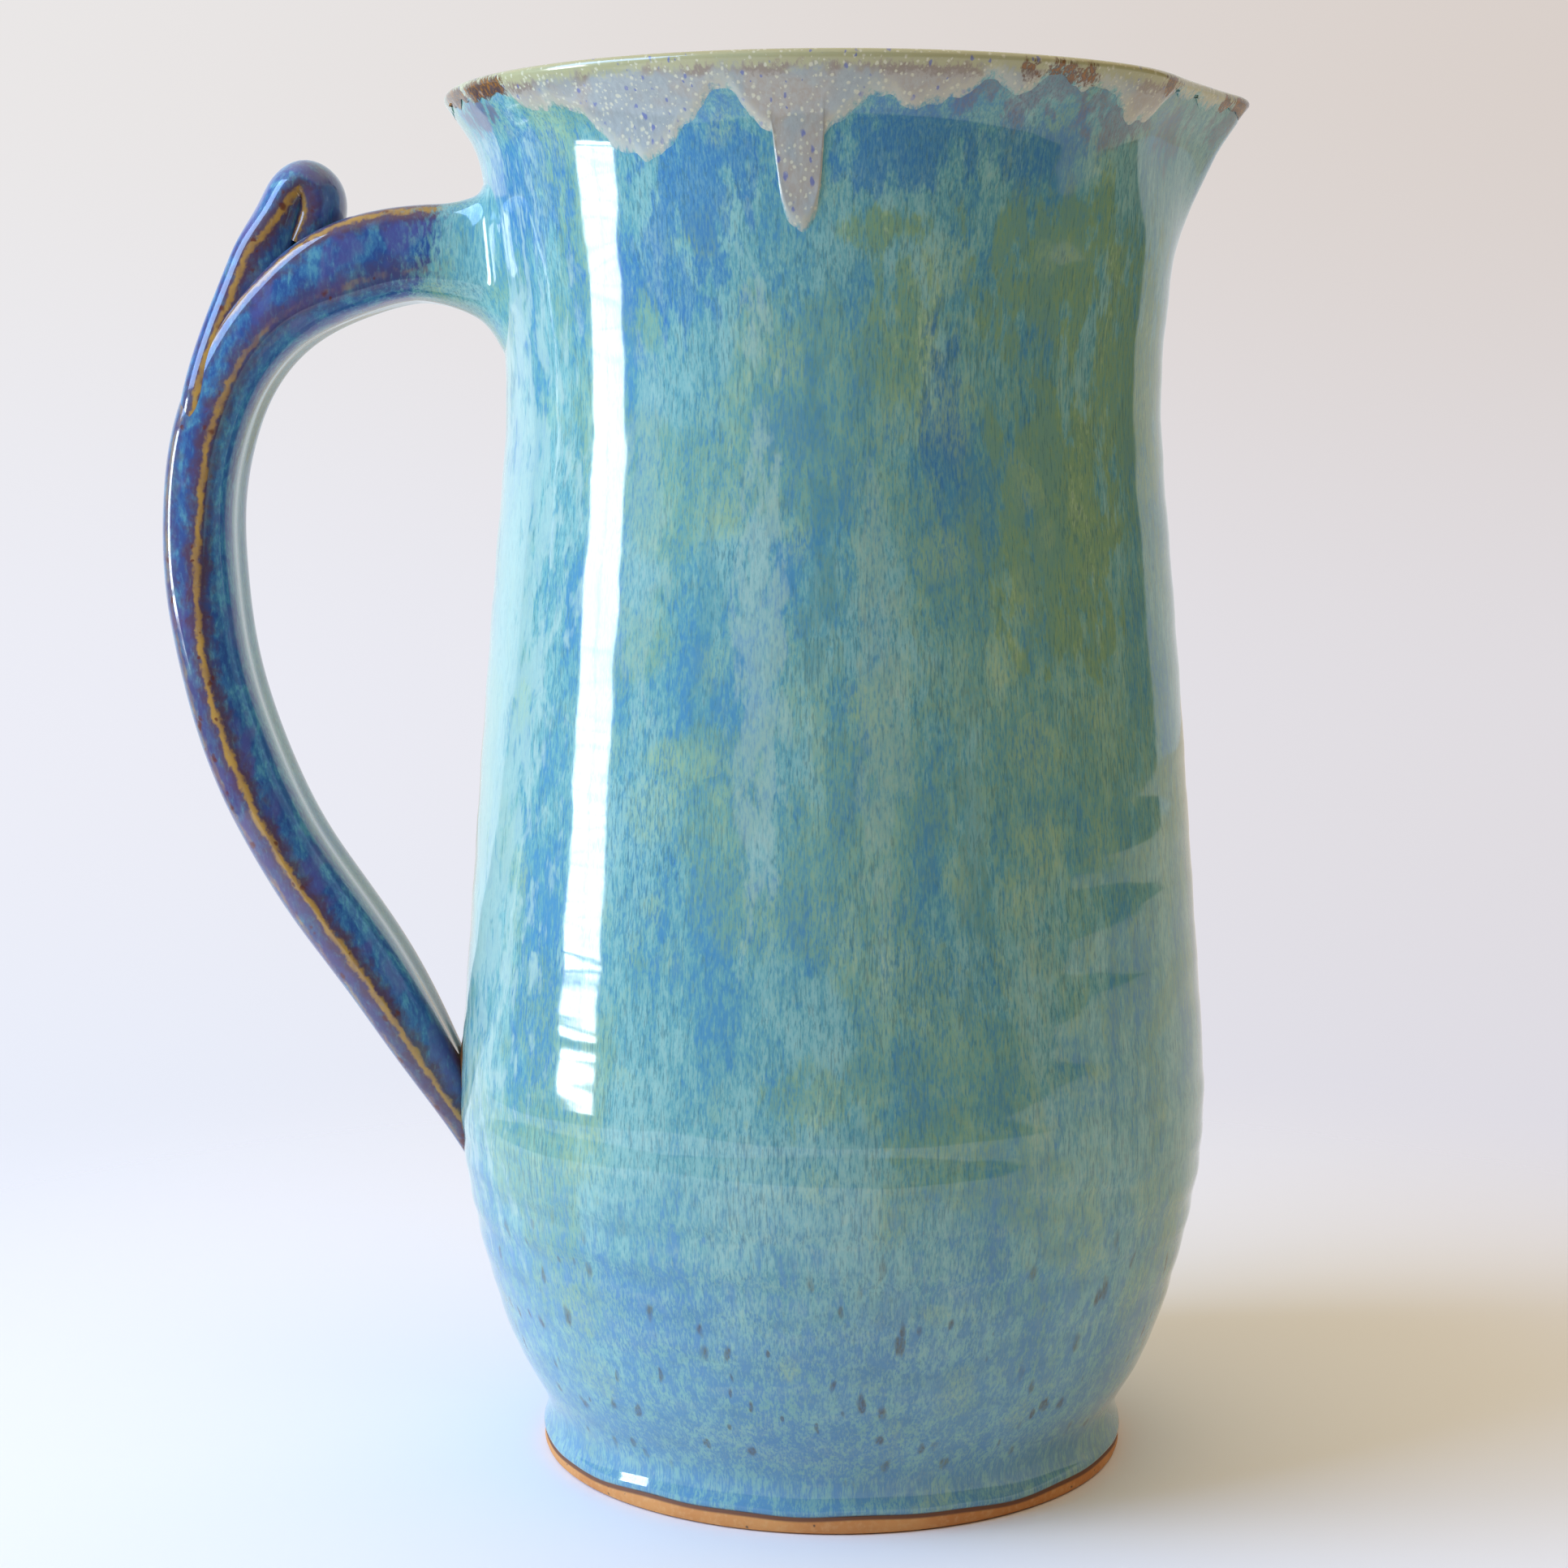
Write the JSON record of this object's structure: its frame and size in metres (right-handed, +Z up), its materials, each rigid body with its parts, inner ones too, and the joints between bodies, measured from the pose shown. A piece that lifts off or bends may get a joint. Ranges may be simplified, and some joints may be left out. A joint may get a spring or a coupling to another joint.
{
  "type": "ceramic pitcher",
  "caption": "Tall glazed stoneware pitcher with a flared mouth, a pulled spout, a strap handle with a curled thumb rest and a bare clay foot, for pouring drinks or holding flowers.",
  "frame": {"origin": "centre of the foot ring's resting face, on the axis of the thrown body", "axes": "+Z up the thrown body's axis, +X from the axis towards the spout, the handle on the -X side in the plane y = 0"},
  "size_m": [0.1926, 0.1356, 0.24],
  "materials": {
    "bare_clay": "unglazed orange-tan stoneware, matt",
    "handle_clay": "the same stoneware, pulled",
    "joining_clay": "slip and clay smoothed into the joint",
    "wall_glaze": "glossy streaked blue, teal and green, paler and flecked grey-brown towards the foot",
    "rim_glaze": "pale grey-lilac with yellow and blue specks",
    "handle_glaze": "deep blue and violet, breaking gold-brown on the edges",
    "liner_glaze": "glossy pale blue-green"
  },
  "bodies": {
    "root": {"thrown_body": "bare_clay", "handle": "handle_clay", "thumb_rest": "handle_clay", "upper_handle_joint": "joining_clay", "lower_handle_joint": "joining_clay", "wall_glaze": "wall_glaze", "rim_glaze": "rim_glaze", "handle_glaze": "handle_glaze", "liner_glaze": "liner_glaze"}
  },
  "joints": []
}
